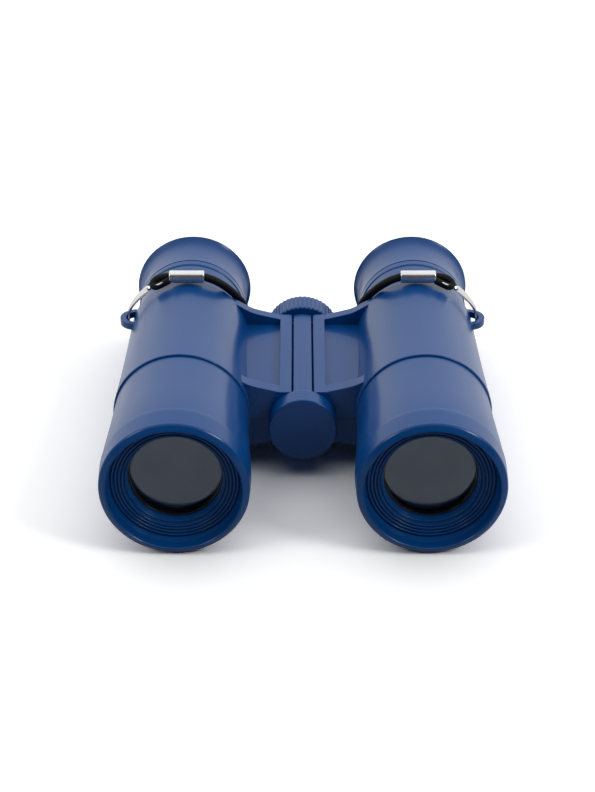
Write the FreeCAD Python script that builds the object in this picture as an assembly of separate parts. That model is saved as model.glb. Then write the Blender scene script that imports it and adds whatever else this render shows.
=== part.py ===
# Small plastic field glasses with a fixed bridge and centre focus, and a neck cord.
# Millimetres. X runs across, Y from the objectives (front) to the eyecups (rear), Z up.
# The barrels are level. The origin is under the middle of the body, at its lowest point.
# Distances along a barrel are "stations": millimetres behind the front rims.
import FreeCAD
import Part
import math
import os

V = FreeCAD.Vector

# ---- driving dimensions -------------------------------------------------------------
SPACING = 64.0            # between the two barrel axes
LENGTH = 112.7            # outer edge of the front rims to the eyecup rims
FLARE_R = 19.1            # widest radius of the front section; the glasses rest on it
RIM_R = 18.85             # outer radius of the front rim
RIM_FRONT = -1.15         # station of the rims' foremost, inner edge
MOUTH_R = 16.9            # inner radius of the front mouth, where a lens cap goes
MOUTH_END = 1.9           # station where the straight mouth ends
LENS_HOLE_R = 11.85       # opening in front of the lens
CELL_R = 11.55            # opening of the lens cell
LENS_AT = 8.6             # station of the lens's front edge
LENS_R = 12.7
LENS_EDGE = 2.3           # thickness of the lens at its edge
RIDGES = 4                # light-stopping rings in the mouth
RIDGE_FIRST = (3.54, 13.2)    # station and radius of the innermost ring's crest
RIDGE_PITCH = 0.87
STEP_AT = 36.8            # station of the step between front section and rear tube
TUBE_END = 84.0           # station of the rear end of the main tubes
EYE_R = 15.1              # outer radius of the sliding eyepiece tubes
EYECUP_R = 16.65          # radius of the flared eyecup rim
RUN_GAP = 0.06            # radial clearance of sliding fits

COLUMN_Z = -3.5           # height of the focus column's axis over the barrel axes
COLUMN_FRONT = 34.65      # station of the front boss's face
COLUMN_R = 9.05           # front boss of the column
KEY_R = 8.65              # rounded top of the key between the bars
KEY_HALF = 2.45           # half the key's width
CORE_R = 7.2              # column inside the bridge
CORE_BORE = 5.3
CORE_END = 81.7           # station of the column's rear end
SHAFT_R = 2.0             # focus screw
CLIP_GROOVE_R = 1.6       # groove of its spring ring
TRAVEL = 8.0              # eyepiece travel
YOKE_AT = 62.0            # front edge of the yoke's arms at rest
YOKE_W = 5.0
SLOT_FROM = YOKE_AT - 4.5            # slots that the arms run in
SLOT_TO = YOKE_AT + YOKE_W + TRAVEL + 1.0
WHEEL_R = 10.25
WHEEL_RIBS = 50
RIB_HEIGHT = 0.3

BRIDGE_FRONT = 40.0       # station of the bridge's front face
BRIDGE_REAR = 84.8        # station of the bridge's rear face
REAR_WALL = 81.8          # station of the rear wall's front face
PARTING_Z = -3.04         # seam between bridge and bottom cover, from the barrel axes
FLOOR_Z = 3.2             # floor of the two pockets beside the bars
BAR_Z = 5.0               # flat tops of the two bars
BAR_IN = 3.0              # inner faces of the bars
BAR_OUT = 6.2             # outer faces of the bars
WEB_Z = 3.6               # top of the rear wall between the bars
COVER_BASE = -8.6         # inside face of the cover's base
BELLY_R = 8.65            # the cover's belly under the column
SCREW_X = 11.0            # the cover's screws
SCREW_STATIONS = (47.4, 79.0)
HEAD_R = 2.3
HEAD_Z = -8.9             # underside seat of the screw heads
LUG_X = 46.55             # strap lugs
LUG_STATION = 79.8
LUG_R = 4.7
LUG_EYE_R = 3.1

CORD_D = 2.2              # braided neck cord
CRIMP_R = 1.75
CRIMP_LENGTH = 9.8
COIL_MEAN_R = 11.0        # middle of the put-away coil's turns
COIL_RINGS = 3            # turns side by side
COIL_LAYERS = 2
COIL_PITCH = 2.25         # from turn to turn
COIL_STATION = 108.2      # the coil's centre, behind the focus wheel
TIE_T = 0.4               # thickness of the band that holds the coil

AXIS_Z = FLARE_R
FRONT_Y = -(LENGTH + RIM_FRONT) / 2
AXIS_X = SPACING / 2
REST_SLOPE = (FLARE_R - EYECUP_R) / (LENGTH - 6.5)   # the surface under the glasses


# ---- helpers ------------------------------------------------------------------------
def point(x, station, height):
    """A point from its place across, its station and its height over the barrel axes."""
    return V(x, FRONT_Y + station, AXIS_Z + height)


def rest_height(station):
    """Height, over the barrel axes, of the surface that the glasses rest on."""
    return -FLARE_R + REST_SLOPE * (station - 6.0)


def outline(place, start, steps):
    """Edges from start: a point is a line, two points an arc, more points a smooth curve."""
    edges = []
    here = start
    for step in steps:
        stops = [step] if isinstance(step, tuple) else step
        points = [place(*here)] + [place(*stop) for stop in stops]
        if len(stops) == 1:
            edges.append(Part.makeLine(points[0], points[1]))
        elif len(stops) == 2:
            edges.append(Part.Arc(*points).toShape())
        else:
            curve = Part.BSplineCurve()
            curve.interpolate(points)
            edges.append(curve.toShape())
        here = stops[-1]
    if (place(*here) - place(*start)).Length > 1e-6:
        edges.append(Part.makeLine(place(*here), place(*start)))
    return Part.Face(Part.Wire(edges))


def turned(x, height, start, *steps):
    """A turned solid about a front-to-rear axis; the profile is in (station, radius)."""
    face = outline(lambda s, r: point(x, s, height + r), start, steps)
    return face.revolve(point(x, 0, height), V(0, 1, 0), 360)


def rod(x, height, radius, first, last):
    """A plain cylinder between two stations."""
    return Part.makeCylinder(radius, last - first, point(x, first, height), V(0, 1, 0))


def block(x0, x1, first, last, low, high):
    return Part.makeBox(x1 - x0, last - first, high - low, point(x0, first, low))


def slab(start, steps, first, last):
    """An outline in (x, height) run from one station to another."""
    face = outline(lambda x, h: point(x, first, h), start, steps)
    return face.extrude(V(0, last - first, 0))


def post(x, station, radius, low, high):
    """An upright cylinder."""
    return Part.makeCylinder(radius, high - low, point(x, station, low), V(0, 0, 1))


def halfway(depth, rim):
    """A spherical face's depth at half its rim radius."""
    sphere = (rim ** 2 + depth ** 2) / (2 * depth)
    return sphere - math.sqrt(sphere ** 2 - (rim / 2) ** 2)


def joined(first, *others):
    return first.multiFuse(list(others)).removeSplitter()


def rounded_path(points, radius_rule=None):
    """Straight runs joined by tangent arcs, as large as the runs allow; returns wire and radii."""
    edges = []
    radii = []
    here = points[0]
    for before, corner, after in zip(points, points[1:], points[2:]):
        run_in = (corner - before).Length
        run_out = (after - corner).Length
        back = (before - corner).normalize()
        on = (after - corner).normalize()
        reach = 0.45 * min(run_in, run_out)
        half = back.getAngle(on) / 2
        radius = reach * math.tan(half)
        start = corner + back * reach
        end = corner + on * reach
        middle = (back + on).normalize()
        mid = corner + middle * (radius / math.sin(half) - radius)
        edges.append(Part.makeLine(here, start))
        edges.append(Part.Arc(start, mid, end).toShape())
        radii.append(radius)
        here = end
    edges.append(Part.makeLine(here, points[-1]))
    return Part.Wire(edges), radii


def tube_along(points, radius):
    """A round bar along a rounded path, and the path's radii."""
    wire, radii = rounded_path(points)
    start = wire.Edges[0]
    direction = start.tangentAt(start.FirstParameter)
    circle = Part.Wire(Part.makeCircle(radius, points[0], direction))
    return wire.makePipeShell([circle], True, False), wire, radii


# ---- main body: two rear tubes, bridge and strap lugs in one moulding ----------------
def tube_outside(x, extra=0.0):
    """Outer form of a rear tube: it tapers to the rear and ends in a rounded shoulder."""
    return turned(
        x, 0, (STEP_AT, 0), (STEP_AT, 17.7 + extra),
        [(STEP_AT + 0.1, 17.95 + extra), (STEP_AT + 0.35, 18.05 + extra)],
        [(42, 17.8 + extra), (52, 17.35 + extra), (64, 16.95 + extra), (76, 16.65 + extra),
         (TUBE_END - 1.2, 16.5 + extra)],
        [(TUBE_END - 0.35, 16.15 + extra), (TUBE_END, 15.3 + extra)],
        (TUBE_END, 0))


def tube_bore(x):
    """Room for the front section's spigot, the sliding tube's collar, and the rear guide."""
    return turned(
        x, 0, (STEP_AT - 1, 0), (STEP_AT - 1, 16.25), (44.2, 16.25), (44.2, 15.6),
        (76.0, 15.6), (76.4, EYE_R + RUN_GAP), (TUBE_END + 1, EYE_R + RUN_GAP),
        (TUBE_END + 1, 0))


def bridge_wall(first, last):
    """Upper half of an end wall: its top sweeps up from the bars to the barrels."""
    right = [(8.5, BAR_Z + 0.55), (11.5, BAR_Z + 1.3), (14.2, 7.15), (16.8, 8.65), (20.5, 10.6)]
    left = [(-x, z) for x, z in reversed(right)]
    return slab((-BAR_OUT, BAR_Z), [(BAR_OUT, BAR_Z), right, (20.5, PARTING_Z),
                                    (-20.5, PARTING_Z), left[0], left[1:] + [(-BAR_OUT, BAR_Z)]],
                first, last)


def strap_lug(side):
    """Half-round ear with a half-round eye, low on the outer side of the tube."""
    low = 5.1
    high = 6.9
    ear = post(side * LUG_X, LUG_STATION, LUG_R, low, high)
    foot = sorted((side * LUG_X, side * 44.0))
    ear = ear.fuse(block(*foot, LUG_STATION - LUG_R, LUG_STATION + LUG_R, low, high))
    return ear.cut(post(side * LUG_X, LUG_STATION, LUG_EYE_R, low - 1, high + 1))


def main_body():
    walls = [bridge_wall(BRIDGE_FRONT, BRIDGE_FRONT + 3.6), bridge_wall(REAR_WALL, BRIDGE_REAR)]
    pocket_floor = block(-20, 20, BRIDGE_FRONT + 1, BRIDGE_REAR - 1, 1.2, FLOOR_Z)
    bars = block(-BAR_OUT, BAR_OUT, BRIDGE_FRONT + 1, BRIDGE_REAR - 1, 1.2, BAR_Z)
    roof = rod(0, COLUMN_Z, CORE_R + 1.5, BRIDGE_FRONT, BRIDGE_REAR)
    roof = roof.cut(block(-20, 20, 30, 90, -20, PARTING_Z))
    roof = roof.cut(block(-20, 20, 30, 90, FLOOR_Z, 20))
    bosses = [post(sx * SCREW_X, s, 2.6, PARTING_Z, FLOOR_Z - 0.5)
              for sx in (-1, 1) for s in SCREW_STATIONS]
    lugs = [strap_lug(side) for side in (-1, 1)]
    tubes = [tube_outside(side * AXIS_X) for side in (-1, 1)]
    body = joined(tubes[0], tubes[1], pocket_floor, bars, roof, *walls, *bosses, *lugs)
    cuts = [tube_bore(side * AXIS_X) for side in (-1, 1)]
    cuts.append(rod(0, COLUMN_Z, CORE_R + 0.1, 30, REAR_WALL))
    cuts.append(rod(0, COLUMN_Z, SHAFT_R + 0.3, 80, 90))
    cuts.append(block(-BAR_IN, BAR_IN, 30, REAR_WALL, 0, 20))
    cuts.append(block(-BAR_IN, BAR_IN, 30, 90, WEB_Z, 20))
    cuts.append(block(-13, 13, SLOT_FROM, SLOT_TO, PARTING_Z - 1, COLUMN_Z + 1.9))
    for side in (-1, 1):
        inner, outer = sorted((side * 13.0, side * 20.0))
        cuts.append(block(inner, outer, YOKE_AT - 0.6, SLOT_TO - 0.4, -5.4, -1.6))
        for station in SCREW_STATIONS:
            cuts.append(post(side * SCREW_X, station, 1.15, PARTING_Z - 1, 1.6))
    body = body.cut(cuts[0].multiFuse(cuts[1:]))
    corners = [e for e in body.Edges if abs(e.BoundBox.YMin - point(0, BRIDGE_REAR, 0).y) < 0.01
               and e.BoundBox.XLength < 0.01 and e.BoundBox.YLength < 0.01
               and abs(abs(e.BoundBox.XMin) - BAR_IN) < 0.01 and e.BoundBox.ZMax > AXIS_Z + 4]
    return body.makeFillet(0.9, corners)


# ---- bottom cover of the bridge and its screws ---------------------------------------
def bottom_cover():
    """Arched tray that closes the bridge from below, with the column's belly along it."""
    right = [(8.5, -10.35), (11.5, -10.8), (14.0, -11.45), (17.0, -12.35), (19.6, -13.2)]
    left = [(-x, z) for x, z in reversed(right)]
    tray = slab((4.0, -10.2), [right, (19.6, PARTING_Z), (-19.6, PARTING_Z), left[0],
                               left[1:] + [(-4.0, -10.2)]], BRIDGE_FRONT, BRIDGE_REAR)
    belly = rod(0, COLUMN_Z, BELLY_R, BRIDGE_FRONT, BRIDGE_REAR)
    belly = belly.cut(block(-20, 20, 30, 90, PARTING_Z, 20))
    hollow = block(-16, 16, BRIDGE_FRONT + 3.0, REAR_WALL, COVER_BASE, 0)
    tray = tray.cut(hollow)
    posts = [post(sx * SCREW_X, s, 3.2, COVER_BASE - 0.5, PARTING_Z)
             for sx in (-1, 1) for s in SCREW_STATIONS]
    tray = joined(tray, belly.cut(rod(0, COLUMN_Z, CORE_R - 1, 58, REAR_WALL)), *posts)
    cuts = [tube_outside(side * AXIS_X, 0.1) for side in (-1, 1)]
    cuts += [rod(side * AXIS_X, 0, 16.4, TUBE_END - 1, 90) for side in (-1, 1)]
    cuts.append(rod(0, COLUMN_Z, CORE_R + 0.1, 30, REAR_WALL))
    cuts.append(rod(0, COLUMN_Z, SHAFT_R + 0.3, 80, 90))
    cuts.append(block(-30, 30, SLOT_FROM, SLOT_TO, COLUMN_Z - 1.9, 0))
    for side in (-1, 1):
        for station in SCREW_STATIONS:
            cuts.append(post(side * SCREW_X, station, 1.45, -20, 0))
            cuts.append(post(side * SCREW_X, station, HEAD_R + 0.2, -20, HEAD_Z))
    return tray.cut(cuts[0].multiFuse(cuts[1:]))


def cover_screws():
    """Four self-tapping screws, heads sunk in the cover."""
    screws = []
    for side in (-1, 1):
        for station in SCREW_STATIONS:
            x = side * SCREW_X
            head = post(x, station, HEAD_R, HEAD_Z - 1.5, HEAD_Z)
            head = head.makeFillet(0.5, [head.Edges[2]])
            slot = block(x - 1.3, x + 1.3, station - 0.3, station + 0.3, HEAD_Z - 2, HEAD_Z - 0.8)
            cross = block(x - 0.3, x + 0.3, station - 1.3, station + 1.3, HEAD_Z - 2, HEAD_Z - 0.8)
            shank = post(x, station, 1.15, HEAD_Z, 1.2)
            screws.append(joined(head, shank).cut(slot).cut(cross))
    return Part.makeCompound(screws)


# ---- focus column and drive ------------------------------------------------------------
def center_column():
    """Closed boss in front, slotted core in the bridge, and a key that shows between the bars."""
    core = turned(
        0, COLUMN_Z, (COLUMN_FRONT, 0), (COLUMN_FRONT, COLUMN_R - 0.45),
        [(COLUMN_FRONT + 0.13, COLUMN_R - 0.13), (COLUMN_FRONT + 0.45, COLUMN_R)],
        (BRIDGE_FRONT - 0.05, COLUMN_R + 0.1), (BRIDGE_FRONT - 0.05, CORE_R), (CORE_END, CORE_R),
        (CORE_END, 0))
    key = block(-KEY_HALF, KEY_HALF, 39, CORE_END, 0, 6)
    key = key.fuse(block(-KEY_HALF, KEY_HALF, CORE_END - 1, BRIDGE_REAR - 0.1, WEB_Z + 0.1, 6))
    core = core.fuse(rod(0, COLUMN_Z, KEY_R, 39, BRIDGE_REAR).common(key))
    bore = rod(0, COLUMN_Z, CORE_BORE, 39.5, 90)
    pivot = rod(0, COLUMN_Z, SHAFT_R + RUN_GAP, 37.3, 45)
    slots = block(-9, 9, SLOT_FROM, 90, COLUMN_Z - 1.8, COLUMN_Z + 1.8)
    return core.cut(bore.multiFuse([pivot, slots])).removeSplitter()


def column_bush():
    """Bush that closes the column's rear end and guides the screw."""
    return turned(
        0, COLUMN_Z, (79.9, SHAFT_R + RUN_GAP), (79.9, CORE_BORE), (CORE_END, CORE_BORE),
        (CORE_END, SHAFT_R + RUN_GAP))


def screw_circlip():
    """Open spring ring in a groove of the screw; it keeps the screw from pulling out."""
    ring = rod(0, COLUMN_Z, 3.4, 79.2, 79.6).cut(rod(0, COLUMN_Z, CLIP_GROOVE_R, 79, 80))
    return ring.cut(block(-1.2, 1.2, 79, 80, COLUMN_Z, COLUMN_Z + 4))


def focus_wheel():
    """Ribbed finger wheel with a hub towards the bridge and a dished rear face."""
    root = WHEEL_R - RIB_HEIGHT
    wheel = turned(
        0, COLUMN_Z, (85.1, SHAFT_R), (85.1, 3.6), (86.0, 3.6), (86.0, root - 0.5),
        (86.3, root), (93.0, root), (93.3, root - 0.5), (93.3, 7.7), (92.2, 7.1),
        (92.2, SHAFT_R))
    pitch = 2 * math.pi * root / WHEEL_RIBS
    rib = slab((-0.38 * pitch, COLUMN_Z + root - 0.2),
               [(-0.28 * pitch, COLUMN_Z + WHEEL_R), (0.28 * pitch, COLUMN_Z + WHEEL_R),
                (0.38 * pitch, COLUMN_Z + root - 0.2)], 86.4, 92.9)
    ribs = []
    for number in range(WHEEL_RIBS):
        turned_rib = rib.copy()
        turned_rib.rotate(point(0, 0, COLUMN_Z), V(0, 1, 0), number * 360.0 / WHEEL_RIBS)
        ribs.append(turned_rib)
    return wheel.multiFuse(ribs)


def focus_screw():
    """Steel spindle; its coarse thread drives the yoke."""
    return turned(
        0, COLUMN_Z, (37.5, 0), (37.5, 1.6), (37.9, SHAFT_R), (79.2, SHAFT_R),
        (79.2, CLIP_GROOVE_R), (79.6, CLIP_GROOVE_R), (79.6, SHAFT_R), (92.2, SHAFT_R), (92.2, 0))


def wheel_screw():
    """Cap screw that holds the wheel on the spindle, with a cross recess."""
    head = turned(0, COLUMN_Z, (92.2, 0), (92.2, 3.1), [(93.2, 2.7), (93.7, 1.5)], (93.8, 0))
    slot = block(-1.6, 1.6, 93.0, 95, COLUMN_Z - 0.35, COLUMN_Z + 0.35)
    cross = block(-0.35, 0.35, 93.0, 95, COLUMN_Z - 1.6, COLUMN_Z + 1.6)
    return head.cut(slot).cut(cross)


def focus_yoke():
    """Nut on the screw with two arms that reach into the eyepiece tubes."""
    nut = rod(0, COLUMN_Z, 4.9, YOKE_AT - 4, YOKE_AT + 8)
    place = lambda x, s: point(x, s, COLUMN_Z - 1.5)
    end = YOKE_AT + YOKE_W
    arms = outline(place, (-18.5, YOKE_AT), [
        (-12, YOKE_AT), (-5, YOKE_AT - 1.5), (5, YOKE_AT - 1.5), (12, YOKE_AT), (18.5, YOKE_AT),
        (18.5, end), (12, end), (5, end + 1.5), (-5, end + 1.5), (-12, end), (-18.5, end)])
    arms = arms.extrude(V(0, 0, 3.0))
    return joined(nut, arms).cut(rod(0, COLUMN_Z, SHAFT_R + RUN_GAP, 50, 80))


# ---- eyepieces -----------------------------------------------------------------------------
def eyepiece_tube(side):
    """Sliding tube with a stop collar in front and the ocular's seat in its rear wall."""
    x = side * AXIS_X
    tube = turned(
        x, 0, (60.0, 13.7), (60.0, 15.54), (61.4, 15.54), (61.4, EYE_R), (95.8, EYE_R),
        (95.8, 13.9), (101.0, 13.9), (101.0, 12.6), (99.4, 8.2), (99.2, 6.4), (98.6, 6.4),
        (98.6, 7.0), (92.5, 7.0), (92.5, 8.6), (97.0, 8.6), (97.0, 12.6), (94.5, 13.7))
    inner, outer = sorted((side * 16.0, side * 18.8))
    window = block(inner, outer, YOKE_AT, YOKE_AT + YOKE_W, COLUMN_Z - 1.5, COLUMN_Z + 1.5)
    return tube.cut(window)


def eyecup(side):
    """Flared cup pushed over the end of the sliding tube, with a groove behind its collar."""
    return turned(
        side * AXIS_X, 0, (95.8, 13.9), (95.8, 15.15), (96.1, 15.4), (98.4, 15.4), (98.5, 15.0),
        (98.8, 15.0), (98.9, 15.4),
        [(102.5, 15.16), (106.5, 15.08), (109.6, 15.3), (111.2, 15.95), (112.0, EYECUP_R)],
        [(112.5, EYECUP_R + 0.02), (LENGTH, 16.2)],
        [(112.2, 15.5), (110.5, 14.45), (107.5, 13.95), (103.5, 13.9), (101.0, 13.9)])


def ocular_lens(side):
    """Double-concave eye lens."""
    hollow = 0.85
    middle = halfway(hollow, 6.4)
    return turned(
        side * AXIS_X, 0, (95.4, 7.0), (98.6, 7.0), (98.6, 6.4),
        [(98.6 - hollow + middle, 3.2), (98.6 - hollow, 0)], (95.4 + hollow, 0),
        [(95.4 + hollow - middle, 3.2), (95.4, 6.4)])


def ocular_retainer(side):
    return turned(side * AXIS_X, 0, (93.4, 6.1), (93.4, 7.0), (95.4, 7.0), (95.4, 6.4))


# ---- objectives ----------------------------------------------------------------------------
def ridge_steps():
    """Rings in the mouth, from the lens opening outwards; each has a flat crest."""
    steps = []
    crest = RIDGE_FIRST[0]
    for ridge in range(RIDGES):
        radius = RIDGE_FIRST[1] + ridge * RIDGE_PITCH
        floor = crest + (1.2 if ridge == 0 else 0.55)
        steps += [(floor, radius - 0.4), (crest, radius - 0.2), (crest, radius + 0.15)]
        crest -= 0.1
    steps.append((crest + 0.65, radius + 0.45))
    return steps


def objective_housing(side):
    """Front section: rim, ridged mouth, outer flare, and the spigot in the rear tube."""
    return turned(
        side * AXIS_X, 0, (-0.8, MOUTH_R), (RIM_FRONT, MOUTH_R + 0.25),
        (RIM_FRONT + 0.05, MOUTH_R + 0.45), (-0.35, RIM_R - 0.4),
        [(-0.15, RIM_R - 0.15), (0.3, RIM_R)],
        (6.0, FLARE_R), (7.2, FLARE_R - 0.02), (7.5, FLARE_R - 0.2),
        [(12, 18.78), (18, 18.45), (27, 17.95), (STEP_AT, 17.55)],
        (STEP_AT, 16.25), (44.0, 16.25), (44.0, 15.0), (8.4, 15.0), (8.4, LENS_HOLE_R),
        (5.8, LENS_HOLE_R), (5.3, 12.0), (4.6, 12.3), (4.4, 12.45), (4.4, 12.65),
        *ridge_steps(), (MOUTH_END, MOUTH_R))


def objective_cell(side):
    """Black moulded ring that holds the lens; its lip shows inside the housing's opening."""
    return turned(
        side * AXIS_X, 0, (6.5, CELL_R), (6.5, LENS_HOLE_R), (8.4, LENS_HOLE_R), (8.4, 15.0),
        (LENS_AT + 4.3, 15.0), (LENS_AT + 4.3, LENS_R), (LENS_AT, LENS_R), (LENS_AT, CELL_R))


def objective_lens(side):
    """Plano-convex objective, bulging to the front."""
    bulge = 0.95
    middle = halfway(bulge, CELL_R)
    back = LENS_AT + LENS_EDGE
    return turned(
        side * AXIS_X, 0, (LENS_AT, LENS_R), (back, LENS_R), (back, 0), (LENS_AT - bulge, 0),
        [(LENS_AT - bulge + middle, CELL_R / 2), (LENS_AT, CELL_R)])


def objective_retainer(side):
    """Threaded-in ring behind the lens."""
    front = LENS_AT + LENS_EDGE
    return turned(side * AXIS_X, 0, (front, LENS_R - 0.9), (front, LENS_R), (front + 1.6, LENS_R),
                  (front + 1.6, LENS_R - 0.9))


# ---- neck cord and its fittings --------------------------------------------------------------
# Routes and wires are given for the left side as (x, station, height), and mirrored for the right.
CRIMP_X = -32.33
CRIMP_STATION = 81.7
CRIMP_H = 18.5

CLIP_WIRE_R = 0.6
CLIP_ROUTE = [(-43.2, 81.3, 14.95), (-44.36, 81.3, 14.2), (-45.99, 81.1, 12.67),
              (-47.61, 80.7, 10.91), (-48.7, 80.1, 9.0), (-48.95, 79.8, 6.9),
              (-48.95, 79.8, 4.9), (-49.0, 80.6, 3.6), (-49.0, 82.0, 3.4)]
CLIP_TIP_R = 0.3
CLIP_TIP = [(-43.6, 81.3, 14.7), (-42.4, 81.3, 14.45), (-41.1, 81.35, 14.9), (-40.3, 81.4, 16.6),
            (-38.9, 81.4, 17.8)]
GATE_WIRE_R = 0.25
GATE_ROUTE = [(-44.3, 81.3, 13.4), (-45.2, 81.0, 12.3), (-46.6, 80.6, 10.6), (-47.8, 80.2, 8.9),
              (-48.7, 79.9, 7.6)]

LOOP_R = 0.82
LOOP_ROUTE = [(-37.24, 82.6, 18.25), (-39.4, 82.75, 17.7), (-41.0, 82.5, 16.95),
              (-42.15, 81.45, 16.1), (-41.35, 80.15, 15.8), (-39.4, 80.2, 16.7),
              (-37.24, 80.75, 17.9)]

CORD_ROUTE = [(-27.43, 81.7, 18.4), (-25.1, 81.7, 17.7), (-22.5, 81.9, 16.0), (-20.6, 83.8, 13.5),
              (-19.0, 86.4, 10.5), (-16.9, 88.2, 6.8), (-15.5, 89.4, 2.2), (-14.9, 90.2, -3.0),
              (-14.9, 91.5, -8.2), (-15.7, 93.2, -12.4), (-16.8, 96.4, -15.2),
              (-16.9, 100.8, -15.7), (-15.4, 105.2, -15.2)]
CORD_LAST_RIGHT = [(-16.9, 100.8, -14.9), (-15.4, 105.2, -13.0)]


def route(points, side):
    return [point(-side * x, station, height) for x, station, height in points]


def crimp_sleeve(side):
    """Round aluminium sleeve pressed on the cord, with eased ends."""
    low_x = -side * CRIMP_X - CRIMP_LENGTH / 2
    sleeve = Part.makeCylinder(CRIMP_R, CRIMP_LENGTH, point(low_x, CRIMP_STATION, CRIMP_H), V(1, 0, 0))
    sleeve = sleeve.makeChamfer(0.2, [e for e in sleeve.Edges if e.Closed and e.Length > 5])
    bore = Part.makeCylinder(CORD_D / 2, CRIMP_LENGTH + 2,
                             point(low_x - 1, CRIMP_STATION, CRIMP_H), V(1, 0, 0))
    plug = Part.makeCylinder(CORD_D / 2, CRIMP_LENGTH - 0.01,
                             point(low_x + 0.005, CRIMP_STATION, CRIMP_H), V(1, 0, 0))
    ends, _, _ = tube_along(cord_route(side), CORD_D / 2)
    return sleeve.cut(bore).fuse(plug).cut(ends).cut(cord_loop(side))


def strap_hook(side):
    """Bent wire hook from the lug's eye to the cord's loop, with a thinner end in the loop."""
    hook, _, _ = tube_along(route(CLIP_ROUTE, side), CLIP_WIRE_R)
    tip, _, _ = tube_along(route(CLIP_TIP, side), CLIP_TIP_R)
    return hook.fuse(tip)


def hook_gate(side):
    """Thin spring wire that closes the hook."""
    gate, _, _ = tube_along(route(GATE_ROUTE, side), GATE_WIRE_R)
    return gate.cut(strap_hook(side))


def cord_loop(side):
    loop, _, _ = tube_along(route(LOOP_ROUTE, side), LOOP_R)
    return loop


def cord_route(side):
    points = CORD_ROUTE if side < 0 else CORD_ROUTE[:-2] + CORD_LAST_RIGHT
    return route(points, side)


def neck_cord(side):
    """Free part of the cord, from the sleeve over the tube and down to the coil."""
    cord, wire, radii = tube_along(cord_route(side), CORD_D / 2)
    section = math.pi * (CORD_D / 2) ** 2
    print("cord side %+d: length %.1f, volume/section %.1f, radii %s" % (
        side, wire.Length, cord.Volume / section, " ".join("%.1f" % r for r in radii)))
    return cord


def coil_face(half_width, height, grow):
    """Section of the coil: a rounded oblong round all its turns."""
    low = -grow
    high = height + grow
    inner = COIL_MEAN_R - half_width - grow
    outer = COIL_MEAN_R + half_width + grow
    soft = 0.9
    k = soft * (1 - math.sqrt(0.5))
    return outline(lambda r, h: V(r, 0, h), (inner + soft, low), [
        (outer - soft, low), [(outer - k, low + k), (outer, low + soft)],
        (outer, high - soft), [(outer - k, high - k), (outer - soft, high)],
        (inner + soft, high), [(inner + k, high - k), (inner, high - soft)],
        (inner, low + soft), [(inner + k, low + k), (inner + soft, low)]])


def settle(shape):
    """Lay a shape made at the origin on the resting surface at the coil's place."""
    shape.rotate(V(0, 0, 0), V(1, 0, 0), math.degrees(math.atan(REST_SLOPE)))
    shape.translate(point(0, COIL_STATION, rest_height(COIL_STATION) + TIE_T + 0.15))
    return shape


def coil_solids():
    half_width = (COIL_RINGS - 1) * COIL_PITCH / 2 + CORD_D / 2
    height = (COIL_LAYERS - 1) * COIL_PITCH + CORD_D
    coil = coil_face(half_width, height, 0).revolve(V(0, 0, 0), V(0, 0, 1), 360)
    band = coil_face(half_width, height, TIE_T).revolve(V(0, 0, 0), V(0, 0, 1), 14)
    band.rotate(V(0, 0, 0), V(0, 0, 1), 83)
    return settle(coil.copy()), settle(band.cut(coil))


# ---- parts -----------------------------------------------------------------------------------
def all_parts():
    parts = {
        "main_body": main_body(),
        "bridge_bottom_cover": bottom_cover(),
        "cover_screws": cover_screws(),
        "center_column": center_column(),
        "column_bush": column_bush(),
        "screw_circlip": screw_circlip(),
        "focus_wheel": focus_wheel(),
        "focus_screw": focus_screw(),
        "wheel_screw": wheel_screw(),
        "focus_yoke": focus_yoke(),
    }
    paired = {
        "eyepiece_tube": eyepiece_tube, "eyecup": eyecup, "ocular_lens": ocular_lens,
        "ocular_retainer": ocular_retainer, "objective_housing": objective_housing,
        "objective_cell": objective_cell, "objective_lens": objective_lens,
        "objective_retainer": objective_retainer, "strap_hook": strap_hook, "hook_gate": hook_gate,
        "cord_loop": cord_loop, "crimp_sleeve": crimp_sleeve, "neck_cord": neck_cord,
    }
    for name, make in paired.items():
        parts[name + "_left"] = make(-1)
        parts[name + "_right"] = make(1)
    parts["neck_cord_coil"], parts["coil_tie"] = coil_solids()
    return parts


os.makedirs("parts", exist_ok=True)
for node, shape in all_parts().items():
    if not shape.isValid():
        print("NOT VALID", node)
    shape.exportStep("parts/%s.step" % node)
    print("%-26s %8.1f mm3  %d solid(s)" % (node, shape.Volume, len(shape.Solids)))
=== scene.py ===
import math

import bmesh
import bpy
from mathutils import Matrix, Vector


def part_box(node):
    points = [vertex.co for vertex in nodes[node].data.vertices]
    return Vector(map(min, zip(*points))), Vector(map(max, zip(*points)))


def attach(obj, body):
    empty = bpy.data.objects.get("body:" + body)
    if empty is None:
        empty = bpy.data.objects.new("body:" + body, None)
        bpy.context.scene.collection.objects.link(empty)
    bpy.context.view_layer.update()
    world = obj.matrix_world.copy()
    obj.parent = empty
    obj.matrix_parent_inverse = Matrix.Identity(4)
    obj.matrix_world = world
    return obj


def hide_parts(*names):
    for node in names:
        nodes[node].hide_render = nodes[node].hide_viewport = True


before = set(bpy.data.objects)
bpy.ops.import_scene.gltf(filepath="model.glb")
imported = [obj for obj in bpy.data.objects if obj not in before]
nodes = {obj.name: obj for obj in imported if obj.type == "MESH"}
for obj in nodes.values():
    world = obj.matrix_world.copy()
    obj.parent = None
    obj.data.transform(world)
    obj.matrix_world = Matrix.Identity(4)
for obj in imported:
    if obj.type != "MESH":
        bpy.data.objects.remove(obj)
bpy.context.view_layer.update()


# ---- camera ------------------------------------------------------------------------------
# A long lens in front of the glasses and above them, looking down at the bridge. It stands
# a hair to the left of the middle, and shows both barrels from their front and their top.
SENSOR = 36.0        # height, in mm
LONG_LENS = 88.64    # in mm
CAMERA_AT = (-0.00139, -0.464375, 0.2781)
LOOKS_DOWN = 29.63   # in degrees
camera_data = bpy.data.cameras.new("camera")
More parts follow.
